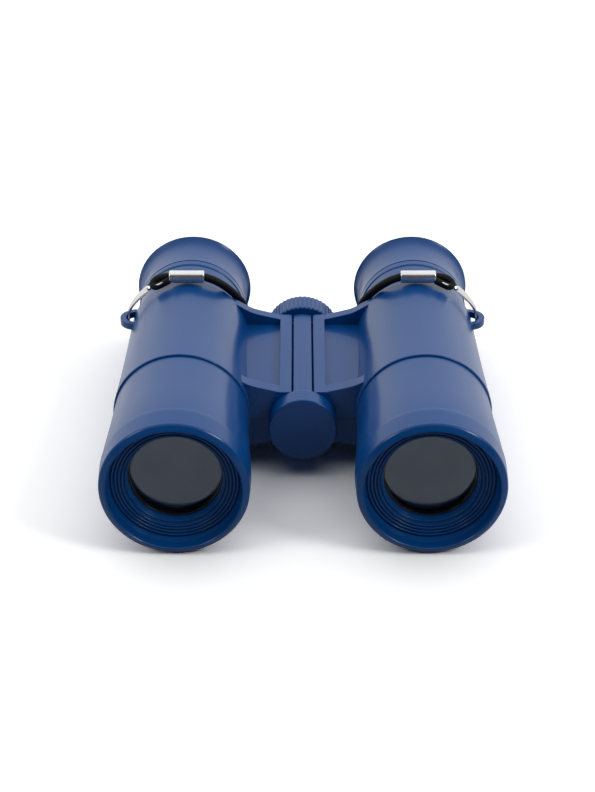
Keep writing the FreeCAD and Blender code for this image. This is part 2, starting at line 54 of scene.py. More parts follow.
camera_data.sensor_fit = "VERTICAL"
camera_data.sensor_height = SENSOR
camera_data.lens = LONG_LENS
camera = bpy.data.objects.new("camera", camera_data)
camera.location = CAMERA_AT
camera.rotation_euler = (math.radians(90 - LOOKS_DOWN), 0, 0)
bpy.context.scene.collection.objects.link(camera)
bpy.context.scene.camera = camera
bpy.context.scene.view_settings.view_transform = "Standard"


# ---- table -------------------------------------------------------------------------------
# The glasses lie on their two front flares and their two eyecup rims. The flares are the
# larger, so the table's matt white sheet passes under the level barrels at a slight slope.
def put(tree, kind, feeds=None, **settings):
    """Adds a node. feeds holds its inputs: numbers, colours, or other nodes' outputs."""
    made = tree.nodes.new("ShaderNode" + kind)
    for name, value in settings.items():
        setattr(made, name, value)
    for key, value in (feeds or {}).items():
        if isinstance(value, bpy.types.NodeSocket):
            tree.links.new(value, made.inputs[key])
        else:
            made.inputs[key].default_value = value
    return made


def new_material(name):
    """An empty node material with its output; returns the material, its tree and the output."""
    material = bpy.data.materials.new(name)
    material.use_nodes = True
    material.node_tree.nodes.clear()
    return material, material.node_tree, put(material.node_tree, "OutputMaterial")


def show(name, form, material):
    """Turns a bmesh into a linked object with smooth faces and one material."""
    mesh = bpy.data.meshes.new(name)
    form.to_mesh(mesh)
    form.free()
    mesh.shade_smooth()
    piece = bpy.data.objects.new(name, mesh)
    bpy.context.scene.collection.objects.link(piece)
    piece.data.materials.append(material)
    return piece


RIM_AHEAD = 0.00115       # the rim's lip stands this far before station 0
FLARE_STATION = 0.006     # station where the front flare is widest
CUP_STATION = 0.0005      # the cup is widest this far before its rear end
barrel_low, barrel_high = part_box("objective_housing_left")
cup_low, cup_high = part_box("eyecup_left")
FRONT = barrel_low.y + RIM_AHEAD
table_rise = (cup_low.z - barrel_low.z) / (cup_high.y - CUP_STATION - FRONT - FLARE_STATION)

TABLE_SEEN = (1.22, 1.22, 1.22, 1)      # the sheet as the camera sees it, burnt out to white
TABLE_FRONT_PAINTED_DIM = (0.38, 0.38, 0.38, 1)     # what it throws back at the glasses in front of them, painted dim as shade for the unlit room there
TABLE_BACK = (0.90, 0.90, 0.90, 1)      # and behind them
TABLE_FADE = (-0.09, 0.0)               # where the one tone passes into the other
TABLE_HALF = 4.0                        # half the width of the sheet
table_white, tree, output = new_material("table_white")
grain = put(tree, "TexNoise", {"Scale": 900.0, "Detail": 3.0})
paper = put(tree, "Bump", {"Height": grain.outputs["Fac"], "Distance": 0.00002, "Strength": 0.2})
spot = put(tree, "TexCoord")
split = put(tree, "SeparateXYZ", {"Vector": spot.outputs["Object"]})
backwards = put(tree, "MapRange", {"Value": split.outputs["Y"], "From Min": TABLE_FADE[0],
                                   "From Max": TABLE_FADE[1]}, interpolation_type="SMOOTHSTEP")
# Painted shade: in front of the glasses the sheet throws back far less light than behind them,
# standing in for the dim room before them.
bounced = put(tree, "Mix", {"Factor": backwards.outputs["Result"], "A": TABLE_FRONT_PAINTED_DIM,
                            "B": TABLE_BACK}, data_type="RGBA")
ray = put(tree, "LightPath")
white = put(tree, "Mix", {"Factor": ray.outputs["Is Camera Ray"], "A": bounced.outputs["Result"],
                          "B": TABLE_SEEN}, data_type="RGBA", clamp_factor=True)
top = put(tree, "BsdfDiffuse", {"Color": white.outputs["Result"],
                                "Normal": paper.outputs["Normal"]})
tree.links.new(top.outputs["BSDF"], output.inputs["Surface"])
form = bmesh.new()
bmesh.ops.create_grid(form, x_segments=1, y_segments=1, size=TABLE_HALF)
for corner in form.verts:
    corner.co.z = table_rise * (corner.co.y - FRONT - FLARE_STATION)
table = show("table", form, table_white)


# ---- light -------------------------------------------------------------------------------
# A white tent stands behind and over the glasses; the room before them is dim. Soft boxes
# shine down on their fronts from the right and from the left, the right one the stronger.
TENT = 1.14
TENT_TOWARDS = (0.0, 0.86, 0.5)
TENT_FADE = (-0.2, 0.32)    # cosines of the angles to where it begins and where it is full
TENT_SEEN = 1.0             # the tent as the camera sees it
ROOM = 0.024
BOX_EDGE = 0.982            # cosine of the angle from a box's middle to its faded edge
BOX_FULL = 0.994            # cosine of the angle to where it reaches its full strength
SOFT_BOXES = [((0.72, -0.32, 0.61), 12.5), ((-0.72, -0.32, 0.61), 5.5)]
world = bpy.data.worlds.new("tent")
bpy.context.scene.world = world
world.use_nodes = True
tree = world.node_tree
tree.nodes.clear()
output = put(tree, "OutputWorld")
look = put(tree, "TexCoord")
behind = put(tree, "VectorMath", {0: look.outputs["Generated"], 1: TENT_TOWARDS},
             operation="DOT_PRODUCT")
light = put(tree, "MapRange", {"Value": behind.outputs["Value"], "From Min": TENT_FADE[0],
                               "From Max": TENT_FADE[1], "To Min": ROOM, "To Max": TENT},
            interpolation_type="SMOOTHSTEP").outputs["Result"]
for towards, strength in SOFT_BOXES:
    aim = put(tree, "VectorMath", {0: look.outputs["Generated"],
                                   1: Vector(towards).normalized()}, operation="DOT_PRODUCT")
    box = put(tree, "MapRange", {"Value": aim.outputs["Value"], "From Min": BOX_EDGE,
                                 "From Max": BOX_FULL, "To Max": strength},
              interpolation_type="SMOOTHSTEP")
    light = put(tree, "Math", {0: light, 1: box.outputs["Result"]}).outputs["Value"]
seen = put(tree, "LightPath")
shown = put(tree, "Mix", {"Factor": seen.outputs["Is Camera Ray"], "A": light,
                            "B": TENT_SEEN})
sky = put(tree, "Background", {"Color": (1, 1, 1, 1), "Strength": shown.outputs["Result"]})
tree.links.new(sky.outputs["Background"], output.inputs["Surface"])


# ---- main body ---------------------------------------------------------------------------
# The two rear tubes, the bridge's top and the strap ears are one moulding in blue ABS. Its
# edges are eased by the mould, and the gloss has a fine unevenness and light handling marks.
def edge_group():
    """Rounded edge normals, and a mask along the edges where the plastic has rubbed."""
    group = bpy.data.node_groups.new("moulded_edges", "ShaderNodeTree")
    group.interface.new_socket("Radius", in_out="INPUT", socket_type="NodeSocketFloat")
    group.interface.new_socket("Normal", in_out="OUTPUT", socket_type="NodeSocketVector")
    group.interface.new_socket("Rubbed", in_out="OUTPUT", socket_type="NodeSocketFloat")
    inside = group.nodes.new("NodeGroupInput")
    outside = group.nodes.new("NodeGroupOutput")
    rounded = put(group, "Bevel", {"Radius": inside.outputs["Radius"]}, samples=8)
    face = put(group, "NewGeometry")
    turn = put(group, "VectorMath", {0: rounded.outputs["Normal"], 1: face.outputs["Normal"]},
               operation="DOT_PRODUCT")
    edge = put(group, "MapRange", {"Value": turn.outputs["Value"], "From Min": 0.99,
                                   "From Max": 0.80})
    spot = put(group, "TexCoord")
    patches = put(group, "TexNoise", {"Vector": spot.outputs["Object"], "Scale": 420.0,
                                      "Detail": 4.0})
    patchy = put(group, "MapRange", {"Value": patches.outputs["Fac"], "From Min": 0.50,
                                     "From Max": 0.66})
    rubbed = put(group, "Math", {0: edge.outputs["Result"], 1: patchy.outputs["Result"]},
                 operation="MULTIPLY")
    group.links.new(rounded.outputs["Normal"], outside.inputs["Normal"])
    group.links.new(rubbed.outputs["Value"], outside.inputs["Rubbed"])
    return group


def grain_group():
    """Fine unevenness of a moulded or pressed skin, slow tone changes, and hairline marks."""
    group = bpy.data.node_groups.new("skin_grain", "ShaderNodeTree")
    group.interface.new_socket("Size", in_out="INPUT", socket_type="NodeSocketFloat")
    group.interface.new_socket("Height", in_out="OUTPUT", socket_type="NodeSocketFloat")
    group.interface.new_socket("Tone", in_out="OUTPUT", socket_type="NodeSocketFloat")
    group.interface.new_socket("Marks", in_out="OUTPUT", socket_type="NodeSocketFloat")
    inside = group.nodes.new("NodeGroupInput")
    outside = group.nodes.new("NodeGroupOutput")
    spot = put(group, "TexCoord")
    fine = put(group, "TexNoise", {"Vector": spot.outputs["Object"], "Detail": 2.0,
                                   "Scale": inside.outputs["Size"]})
    slow = put(group, "TexNoise", {"Vector": spot.outputs["Object"], "Scale": 60.0,
                                   "Detail": 2.0})
    drawn = put(group, "Mapping", {"Vector": spot.outputs["Object"], "Scale": (2600, 130, 1900),
                                   "Rotation": (0.35, 0.1, 0.2)})
    strokes = put(group, "TexNoise", {"Vector": drawn.outputs["Vector"], "Scale": 1.0,
                                      "Detail": 1.0})
    hairs = put(group, "MapRange", {"Value": strokes.outputs["Fac"], "From Min": 0.72,
                                    "From Max": 0.78})
    group.links.new(fine.outputs["Fac"], outside.inputs["Height"])
    group.links.new(slow.outputs["Fac"], outside.inputs["Tone"])
    group.links.new(hairs.outputs["Result"], outside.inputs["Marks"])
    return group


moulded_edges = edge_group()
skin_grain = grain_group()


TONE_SPAN = {"From Min": 0.3, "From Max": 0.7}
MARKS_DULL = 0.03       # a handling mark adds this much roughness
SEAM_SHADE_DEPTH = 0.00022     # depth of the band of painted shade along a joint
# the colour painted along a joint as its shade: the blue darkened, for the shadow in the gap
SEAM_PAINTED_SHADE = (0.0003, 0.003, 0.012, 1)


def skin(name, tones, gloss, ease, grain_size=2200.0, relief=0.02, seam_shade_top=None, **shader):
    """A solid finish: two close tones, rubbed edges, uneven gloss and a fine relief.

    tones holds the deep, the pale and the worn colour, and ease is the radius of the edges.
    The height of the piece's upper edge may be given: under it a thin band of painted shade
    stands in for the shadow in its joint with another.
    """
    material, tree, output = new_material(name)
    edges = put(tree, "Group", node_tree=moulded_edges)
    edges.inputs["Radius"].default_value = ease
    surface = put(tree, "Group", node_tree=skin_grain)
    surface.inputs["Size"].default_value = grain_size
    deep, pale, worn = ((*tone, 1) for tone in tones)
    drift = put(tree, "MapRange", {"Value": surface.outputs["Tone"], **TONE_SPAN})
    body = put(tree, "Mix", {"Factor": drift.outputs["Result"], "A": deep, "B": pale},
               data_type="RGBA")
    colour = put(tree, "Mix", {"Factor": edges.outputs["Rubbed"], "A": body.outputs["Result"],
                               "B": worn}, data_type="RGBA")
    # Painted shade: a thin band just under the upper edge is darkened to stand in for the shadow
    # in the joint.
    if seam_shade_top is not None:
        spot = put(tree, "TexCoord")
        split = put(tree, "SeparateXYZ", {"Vector": spot.outputs["Object"]})
        shade = put(tree, "MapRange", {"Value": split.outputs["Z"],
                                       "From Min": seam_shade_top - SEAM_SHADE_DEPTH,
                                       "From Max": seam_shade_top - SEAM_SHADE_DEPTH / 2})
        colour = put(tree, "Mix", {"Factor": shade.outputs["Result"],
                                   "A": colour.outputs["Result"], "B": SEAM_PAINTED_SHADE},
                     data_type="RGBA")
    shine = put(tree, "MapRange", {"Value": surface.outputs["Tone"], **TONE_SPAN,
                                   "To Min": gloss[0], "To Max": gloss[1]})
    scuffed = put(tree, "Math", {0: surface.outputs["Marks"], 1: MARKS_DULL,
                                 2: shine.outputs["Result"]}, operation="MULTIPLY_ADD")
    relief_node = put(tree, "Bump", {"Height": surface.outputs["Height"], "Strength": relief,
                                     "Distance": 0.00005, "Normal": edges.outputs["Normal"]})
    finish = put(tree, "BsdfPrincipled", {"Base Color": colour.outputs["Result"],
                                          "Roughness": scuffed.outputs["Value"],
                                          "Normal": relief_node.outputs["Normal"],
                                          "Coat Normal": edges.outputs["Normal"], **shader})
    tree.links.new(finish.outputs["BSDF"], output.inputs["Surface"])
    return material


def finish_node(node, material):
    """Gives a carried-over piece its finish."""
    nodes[node].material_slots[0].material = material


BLUE = [(0.0012, 0.052, 0.206), (0.0018, 0.056, 0.218), (0.012, 0.100, 0.310)]
BLUE_GLOSS = (0.28, 0.32)
BLUE_SHINE = {"IOR": 1.5, "Specular IOR Level": 0.21, "Coat Weight": 0.18, "Coat Roughness": 0.09}
MOULD_EASE = 0.00026
blue = skin("blue_abs", BLUE, BLUE_GLOSS, MOULD_EASE, **BLUE_SHINE)
finish_node("main_body", blue)


# ---- bottom cover and its screws ---------------------------------------------------------
# The cover closes the bridge from below, in the same blue ABS, with the column's belly along
# its middle and a fine shut line where it meets the bridge, its shade painted into the cover's
# colour. Four zinc plated tapping screws hold it from underneath, their heads sunk.
cover_blue = skin("blue_cover", BLUE, BLUE_GLOSS, MOULD_EASE,
                  seam_shade_top=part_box("bridge_bottom_cover")[1].z, **BLUE_SHINE)
finish_node("bridge_bottom_cover", cover_blue)
FINE_EASE = 0.00012
zinc = skin("zinc_plate", [(0.42, 0.42, 0.43), (0.56, 0.56, 0.57), (0.66, 0.66, 0.66)],
            (0.29, 0.40), FINE_EASE, grain_size=5200.0, Metallic=1.0)
finish_node("cover_screws", zinc)


# ---- column, bush and focus screw --------------------------------------------------------
# The column is a blue moulding with a closed boss in front and a key between the two bars.
# Inside it an acetal bush guides the zinc plated focus screw, which a spring ring keeps in.
finish_node("center_column", blue)
acetal = skin("white_acetal", [(0.68, 0.68, 0.64), (0.76, 0.76, 0.72), (0.80, 0.80, 0.77)],
              (0.34, 0.42), 0.00015)
finish_node("column_bush", acetal)
finish_node("screw_circlip", zinc)
finish_node("focus_screw", zinc)
finish_node("wheel_screw", zinc)


# ---- focus wheel -------------------------------------------------------------------------
# The wheel is a blue moulding with fifty flat ribs for the finger, a hub towards the bridge
# and a dished rear face. It sits on the focus screw and turns it.
ARC_STEPS = 5
BESIDE = 0.08           # a guard point on each flank keeps a rounding's shade off the flat
BESIDE_SHARE = 0.3      # and takes no more than this share of a short flank


def eased(outline, closed):
    """Rounds an outline's corners. Each point is a station, a radius and its rounding, in mm."""
    count = len(outline)
    rounded = []
    for number, (station, radius, ease) in enumerate(outline):
        here = Vector((station, radius))
        if ease == 0 or (not closed and number in (0, count - 1)):
            rounded.append(here)
            continue
        back = Vector(outline[number - 1][:2]) - here
        onward = Vector(outline[(number + 1) % count][:2]) - here
        half = back.angle(onward) / 2
        reach = ease / math.tan(half)
        beside = min(BESIDE, BESIDE_SHARE * (min(back.length, onward.length) - reach))
        inwards = (back.normalized() + onward.normalized()).normalized()
        centre = here + inwards * ease / math.sin(half)
        first = here + back.normalized() * reach
        last = here + onward.normalized() * reach
        rounded.append(first + back.normalized() * beside)
        for step in range(ARC_STEPS + 1):
            chord = first.lerp(last, step / ARC_STEPS)
            rounded.append(centre + (chord - centre).normalized() * ease)
        rounded.append(last + onward.normalized() * beside)
    return rounded


def turned(outline, across, height, steps, closed=True):
    """Turns an outline about a barrel or column axis; returns the bmesh."""
    form = bmesh.new()
    spots = [Vector((across, FRONT + spot.x / 1000, height + spot.y / 1000))
             for spot in eased(outline, closed)]
    corners = [form.verts.new(spot) for spot in spots]
    edges = [form.edges.new(pair) for pair in zip(corners, corners[1:])]
    if closed:
        edges.append(form.edges.new((corners[-1], corners[0])))
    bmesh.ops.spin(form, geom=corners + edges, cent=(across, 0, height), axis=(0, 1, 0),
                   angle=2 * math.pi, steps=steps, use_merge=True)
    bmesh.ops.remove_doubles(form, verts=form.verts, dist=1e-7)
    bmesh.ops.recalc_face_normals(form, faces=form.faces)
    return form


wheel_low, wheel_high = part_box("focus_wheel")
COLUMN_HEIGHT = (wheel_low.z + wheel_high.z) / 2
WHEEL_R = (wheel_high.z - wheel_low.z) / 2
RIBS = 50
RIB_HEIGHT = 0.0003
RIB_STEPS = 12
RIB_FLAT = 0.26         # half a rib's flat top, as a share of the pitch
RIB_FLANK = 0.16        # one flank of it, likewise
SHAFT_R = 2.0
wheel_mm = WHEEL_R * 1000
WHEEL = [(85.1, SHAFT_R, 0), (85.1, 3.6, 0.15), (86.0, 3.6, 0.1), (86.0, wheel_mm, 0.5),
         (93.3, wheel_mm, 0.5), (93.3, 7.7, 0.2), (92.2, 7.1, 0.2), (92.2, SHAFT_R, 0)]
form = turned(WHEEL, 0, COLUMN_HEIGHT, RIBS * RIB_STEPS)
for corner in form.verts:
    out = Vector((corner.co.x, 0, corner.co.z - COLUMN_HEIGHT))
    above = out.length - (WHEEL_R - RIB_HEIGHT)
    if above > 0:
        turn = math.atan2(out.x, out.z) * RIBS / (2 * math.pi)
        groove = min(max((abs(turn % 1 - 0.5) - RIB_FLAT) / RIB_FLANK, 0), 1)
        corner.co -= out.normalized() * above * groove * groove * (3 - 2 * groove)
wheel = show("wheel", form, blue)
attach(wheel, "focus_drive")
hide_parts("focus_wheel")


# ---- yoke --------------------------------------------------------------------------------
# The acetal yoke is the screw's nut. Its two arms reach through the bridge into the sliding
# tubes and carry both of them along when the wheel is turned.
finish_node("focus_yoke", acetal)


# ---- sliding tubes and eyecups -----------------------------------------------------------
# The sliding tubes run in the rear ends of the barrels. Each carries a flared eyecup pushed
# over its end. Both are blue ABS, the tube a little duller from its sliding fit.
BARREL_STEPS = 200
AXIS_HEIGHT = (barrel_low.z + barrel_high.z) / 2
AXIS_OUT = -(barrel_low.x + barrel_high.x) / 2
EYECUP = [(95.8, 13.9, 0.1), (95.8, 15.13, 0), (96.5, 15.36, 0.6), (98.42, 15.4, 0.12),
          (98.5, 15.0, 0), (98.8, 15.0, 0), (98.88, 15.4, 0.12),
          (100.5, 15.26, 0), (102.5, 15.16, 0), (104.5, 15.09, 0),
          (106.5, 15.08, 0), (108.2, 15.15, 0), (109.6, 15.3, 0), (110.5, 15.57, 0),
          (111.2, 15.95, 0), (111.7, 16.35, 0), (112.05, 16.67, 0.16), (112.7, 16.45, 0.25),
          (112.2, 15.5, 0), (111.5, 14.95, 0), (110.5, 14.45, 0), (109.2, 14.15, 0),
          (107.5, 13.98, 0), (105.5, 13.92, 0), (103.5, 13.9, 0), (101.0, 13.9, 0.1)]
blue_slid = skin("blue_abs_slid", BLUE, (0.29, 0.34), MOULD_EASE, **BLUE_SHINE)
for side, sign in (("left", -1), ("right", 1)):
    finish_node("eyepiece_tube_" + side, blue_slid)
    form = turned(EYECUP, sign * AXIS_OUT, AXIS_HEIGHT, BARREL_STEPS)
    eyecup = show("cup_" + side, form, blue)
    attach(eyecup, "eyepieces")
    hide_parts("eyecup_" + side)


# ---- eye lenses --------------------------------------------------------------------------
# Each eye lens is a clear acrylic double-concave disc, pressed into the sliding tube's seat
# and kept there by a black retaining ring.
def clear_lens(name, tint):
    """Polished acrylic with a faint tint, a bluish bloom in its shine and wiped patches."""
    material, tree, output = new_material(name)
    spot = put(tree, "TexCoord")
    wiped = put(tree, "TexNoise", {"Vector": spot.outputs["Object"], "Scale": 160.0,
                                   "Detail": 4.0})
    smear = put(tree, "MapRange", {"Value": wiped.outputs["Fac"], "From Min": 0.4,
                                   "From Max": 0.75, "To Min": 0.01, "To Max": 0.012})
    glass = put(tree, "BsdfPrincipled", {"Base Color": (*tint, 1), "IOR": 1.8,
                                         "Transmission Weight": 1.0,
                                         "Specular IOR Level": 1.0,
                                         "Specular Tint": (0.50, 0.68, 1.0, 1),
                                         "Coat Weight": 1.0, "Coat IOR": 1.5,
                                         "Coat Roughness": 0.01,
                                         "Roughness": smear.outputs["Result"]})
    tree.links.new(glass.outputs["BSDF"], output.inputs["Surface"])
    return material


acrylic = clear_lens("clear_acrylic", (0.55, 0.57, 0.62))
black = skin("black_abs", [(0.004, 0.0045, 0.006), (0.007, 0.0075, 0.009), (0.03, 0.03, 0.033)],
             (0.30, 0.38), FINE_EASE, IOR=1.5)
for side in ("left", "right"):
    finish_node("ocular_lens_" + side, acrylic)
    finish_node("ocular_retainer_" + side, black)


# ---- objective housings ------------------------------------------------------------------
# Each housing is a blue moulding pushed into the front of its barrel: a flared rim, a mouth
# that steps inwards over four ridges against stray light, and a smooth outer taper.
CREST_EASE = 0.13
VALLEY_EASE = 0.06
RIDGES = [(3.54, 13.2, 1.2), (3.44, 14.07, 0.55), (3.34, 14.94, 0.55), (3.24, 15.81, 0.55)]
HOUSING = [(-0.8, 16.9, 0.1), (-1.15, 17.15, 0.12), (-0.95, 17.55, 0.3), (-0.30, 18.50, 0.5),
           (0.1, 18.84, 0.35), (2.5, 18.95, 0), (6.0, 19.1, 0.4), (7.2, 19.08, 0.3),
           (7.5, 18.9, 0.3), (12.0, 18.78, 0), (18.0, 18.45, 0), (22.5, 18.2, 0),
           (27.0, 17.95, 0), (32.0, 17.74, 0), (36.8, 17.55, 0.12), (36.8, 16.25, 0),
           (44.0, 16.25, 0), (44.0, 15.0, 0), (8.4, 15.0, 0), (8.4, 11.85, 0),
           (5.75, 11.85, 0.6), (5.1, 12.05, 0.4), (4.4, 12.4, 0.15), (4.4, 12.65, 0.15)]
for crest, radius, depth in RIDGES:
    HOUSING += [(crest + depth, radius - 0.42, VALLEY_EASE), (crest, radius - 0.2, CREST_EASE),
                (crest, radius + 0.15, CREST_EASE)]
HOUSING += [(3.79, 16.26, VALLEY_EASE), (1.9, 16.9, 0.5)]
for side, sign in (("left", -1), ("right", 1)):
    form = turned(HOUSING, sign * AXIS_OUT, AXIS_HEIGHT, BARREL_STEPS)
    housing = show("housing_" + side, form, blue)
    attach(housing, "glasses")
    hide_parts("objective_housing_" + side)


# ---- objective cells, lenses and retainers -----------------------------------------------
# A black ring seats each front lens behind the ridges, and a thin retainer holds it from
# behind. The lens is acrylic, flat behind and bulging a little to the front.
LENS_AT = 7.6           # station where the lens's dome meets its flat lip
LENS_EDGE = 3.3         # thickness of the lens behind that
LENS_R = 12.7
CELL_R = 11.55          # bore of the ring, where the lens shows
BULGE = 0.8
DOME_STEPS = 12
SNUG = 0.01             # the lens is this much smaller than its seat
CELL = [(6.5, CELL_R, 0.1), (6.5, 11.84, 0), (8.41, 11.84, 0), (8.41, 15.0, 0),
        (12.9, 15.0, 0.1), (12.9, LENS_R, 0.1), (8.6, LENS_R, 0), (8.6, 11.7, 0),
        (LENS_AT, 11.7, 0), (LENS_AT, CELL_R, 0.05)]
ball = (CELL_R ** 2 + BULGE ** 2) / (2 * BULGE)
dome = [(LENS_AT - BULGE + ball - math.sqrt(ball ** 2 - (CELL_R * step / DOME_STEPS) ** 2),
         CELL_R * step / DOME_STEPS, 0) for step in range(DOME_STEPS + 1)]
LENS = dome + [(LENS_AT, 11.69, 0), (8.61, 11.69, 0), (8.61, LENS_R - SNUG, 0),
               (LENS_AT + LENS_EDGE, LENS_R - SNUG, 0), (LENS_AT + LENS_EDGE, 0, 0)]
for side, sign in (("left", -1), ("right", 1)):
    form = turned(CELL, sign * AXIS_OUT, AXIS_HEIGHT, BARREL_STEPS)
    cell = show("cell_" + side, form, black)
    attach(cell, "glasses")
    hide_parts("objective_cell_" + side)
    form = turned(LENS, sign * AXIS_OUT, AXIS_HEIGHT, BARREL_STEPS, closed=False)
    lens = show("lens_" + side, form, acrylic)
    lens.data.set_sharp_from_angle(angle=math.radians(30))
    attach(lens, "glasses")
    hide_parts("objective_lens_" + side)
    finish_node("objective_retainer_" + side, black)


# ---- strap hooks -------------------------------------------------------------------------
# Each hook is bent from nickel plated wire, its long leg pressed flat, and hangs in the
# barrel's ear. A thin spring wire closes its mouth, and the end of the cord is looped
# through its other end.
nickel = skin("bright_nickel", [(0.74, 0.73, 0.71), (0.82, 0.81, 0.79), (0.86, 0.85, 0.83)],
              (0.20, 0.24), 0.00010, grain_size=3600.0, relief=0.01, Metallic=1.0)
WIRE_AROUND = 20
WIRE_FINENESS = 10


def place(across, station, height):
    """A point from its place across, its distance behind the front rims, and its height."""
    return Vector((across, FRONT + station, AXIS_HEIGHT + height))


def centreline(points, fineness):
    """Points along a smooth spline through a route. fineness is the points of each span."""
    data = bpy.data.curves.new("centreline", "CURVE")
    data.dimensions = "3D"
    spline = data.splines.new("NURBS")
    spline.points.add(len(points) - 1)
    for made, spot in zip(spline.points, points):
        made.co = (*spot, 1)
    spline.order_u = 3
    spline.use_endpoint_u = True
    spline.resolution_u = fineness
    holder = bpy.data.objects.new("centreline", data)
    line = bpy.data.meshes.new_from_object(holder)
    spots = [corner.co.copy() for corner in line.vertices]
    bpy.data.objects.remove(holder)
    bpy.data.curves.remove(data)
    bpy.data.meshes.remove(line)
    return spots


def bent_wire(points, faces_to, widths):
    """Wire bent along points. widths gives share along, width across and thickness, in mm."""
    spots = centreline(points, WIRE_FINENESS)
    stages = []
    for number, spot in enumerate(spots):
        ahead = spots[min(number + 1, len(spots) - 1)] - spots[max(number - 1, 0)]
        across = ahead.cross(faces_to).normalized()
        upwards = across.cross(ahead).normalized()
        share = number / (len(spots) - 1)
        after = next(row for row in widths if row[0] >= share)
        before = widths[max(widths.index(after) - 1, 0)]
        part = (share - before[0]) / max(after[0] - before[0], 1e-9)
        wide, thick = (before[k] + (after[k] - before[k]) * part for k in (1, 2))
        stage = Matrix((across * wide / 2000, upwards * thick / 2000, ahead.normalized() / 1000))
        stages.append(Matrix.Translation(spot) @ stage.transposed().to_4x4())
    form = bmesh.new()
    bmesh.ops.create_circle(form, cap_ends=True, segments=WIRE_AROUND, radius=1, matrix=stages[0])
    form.faces.ensure_lookup_table()
    end = form.faces[0]
    for before, stage in zip(stages, stages[1:]):
        grown = bmesh.ops.extrude_face_region(form, geom=[end])["geom"]
        end = next(item for item in grown if isinstance(item, bmesh.types.BMFace))
        bmesh.ops.transform(form, matrix=stage @ before.inverted(), verts=end.verts[:])
    bmesh.ops.recalc_face_normals(form, faces=form.faces)
    return form


HOOK = [(-0.0389, 0.0791, 0.0180), (-0.0399, 0.0789, 0.0175), (-0.0410, 0.0795, 0.0170),
        (-0.0416, 0.0810, 0.0162), (-0.0421, 0.0816, 0.0149), (-0.0431, 0.0813, 0.0152),
        (-0.04436, 0.0813, 0.01433), (-0.04599, 0.0811, 0.01267), (-0.04761, 0.0807, 0.01091),
        (-0.04855, 0.0802, 0.00935), (-0.04895, 0.0799, 0.00760), (-0.04895, 0.0798, 0.0049),
        (-0.0490, 0.0806, 0.0036), (-0.0490, 0.0820, 0.0034)]
HOOK_WIDTHS = [(0.0, 0.12, 0.12), (0.02, 0.5, 0.5), (0.30, 0.62, 0.6), (0.36, 1.4, 0.5),
               (0.40, 1.85, 0.5), (0.53, 1.5, 0.55), (0.65, 1.1, 0.6), (0.74, 0.8, 0.62),
               (0.98, 0.75, 0.7), (1.0, 0.2, 0.2)]
HOOK_FACES = (-0.43, -0.71, 0.56)       # the way the flat of the pressed leg looks
GATE = [(-0.0437, 0.0813, 0.01366), (-0.0454, 0.0811, 0.01207), (-0.04715, 0.0807, 0.01045),
        (-0.0482, 0.0802, 0.0090), (-0.04875, 0.0799, 0.0079)]
GATE_WIDTHS = [(0.0, 0.1, 0.1), (0.04, 0.38, 0.38), (0.96, 0.38, 0.38), (1.0, 0.1, 0.1)]
for side, sign in (("left", 1), ("right", -1)):
    for name, route, widths, node in (("hook_", HOOK, HOOK_WIDTHS, "strap_hook_"),
                                      ("gate_", GATE, GATE_WIDTHS, "hook_gate_")):
        bends = [place(sign * x, station, height) for x, station, height in route]
        flat_faces = Vector((sign * HOOK_FACES[0], *HOOK_FACES[1:]))
        wire = show(name + side, bent_wire(bends, flat_faces, widths), nickel)
        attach(wire, "glasses")
        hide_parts(node + side)


# ---- crimp sleeves -----------------------------------------------------------------------
# A short aluminium tube is pressed round the cord and its doubled end to close the loop. Its
# ends are rolled in a little, and the pressing leaves it with a satin gloss.
aluminium = skin("satin_aluminium", [(0.72, 0.72, 0.73), (0.80, 0.80, 0.81), (0.84, 0.84, 0.84)],
                 (0.20, 0.24), FINE_EASE, grain_size=4200.0, relief=0.004, Metallic=0.85)
SLEEVE_AT = (0.03233, 0.0817, 0.0185)
SLEEVE = [(-4.9, 1.2, 0), (-4.9, 1.75, 0.28), (4.9, 1.75, 0.28), (4.9, 1.2, 0), (3.9, 1.15, 0),
          (-3.9, 1.15, 0)]
SLEEVE_STEPS = 72
for side, sign in (("left", -1), ("right", 1)):
    form = turned(SLEEVE, 0, 0, SLEEVE_STEPS)
    middle = place(sign * SLEEVE_AT[0], SLEEVE_AT[1], SLEEVE_AT[2])
    crosswise = Matrix.Rotation(math.pi / 2, 4, "Z")
    bmesh.ops.transform(form, verts=form.verts, matrix=Matrix.Translation(middle)
                        @ crosswise @ Matrix.Translation((0, -FRONT, 0)))
    sleeve = show("sleeve_" + side, form, aluminium)
    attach(sleeve, "glasses")
    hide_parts("crimp_sleeve_" + side)


# ---- neck cord ---------------------------------------------------------------------------
# The neck cord is a black braided polyester cord. Each end is looped through a hook; from the
# sleeves it runs over the barrels and down behind the bridge, where it is coiled and tied.
CORD_D = 0.0022
CORD_END = [(-0.02743, 0.0817, 0.0184), (-0.0251, 0.0817, 0.0177), (-0.0225, 0.0819, 0.0160),
            (-0.0206, 0.0838, 0.0135), (-0.0190, 0.0864, 0.0105), (-0.0169, 0.0882, 0.0068),
            (-0.0155, 0.0894, 0.0022), (-0.0149, 0.0902, -0.0030), (-0.0149, 0.0915, -0.0082),
            (-0.0157, 0.0932, -0.0124), (-0.0168, 0.0964, -0.0152)]
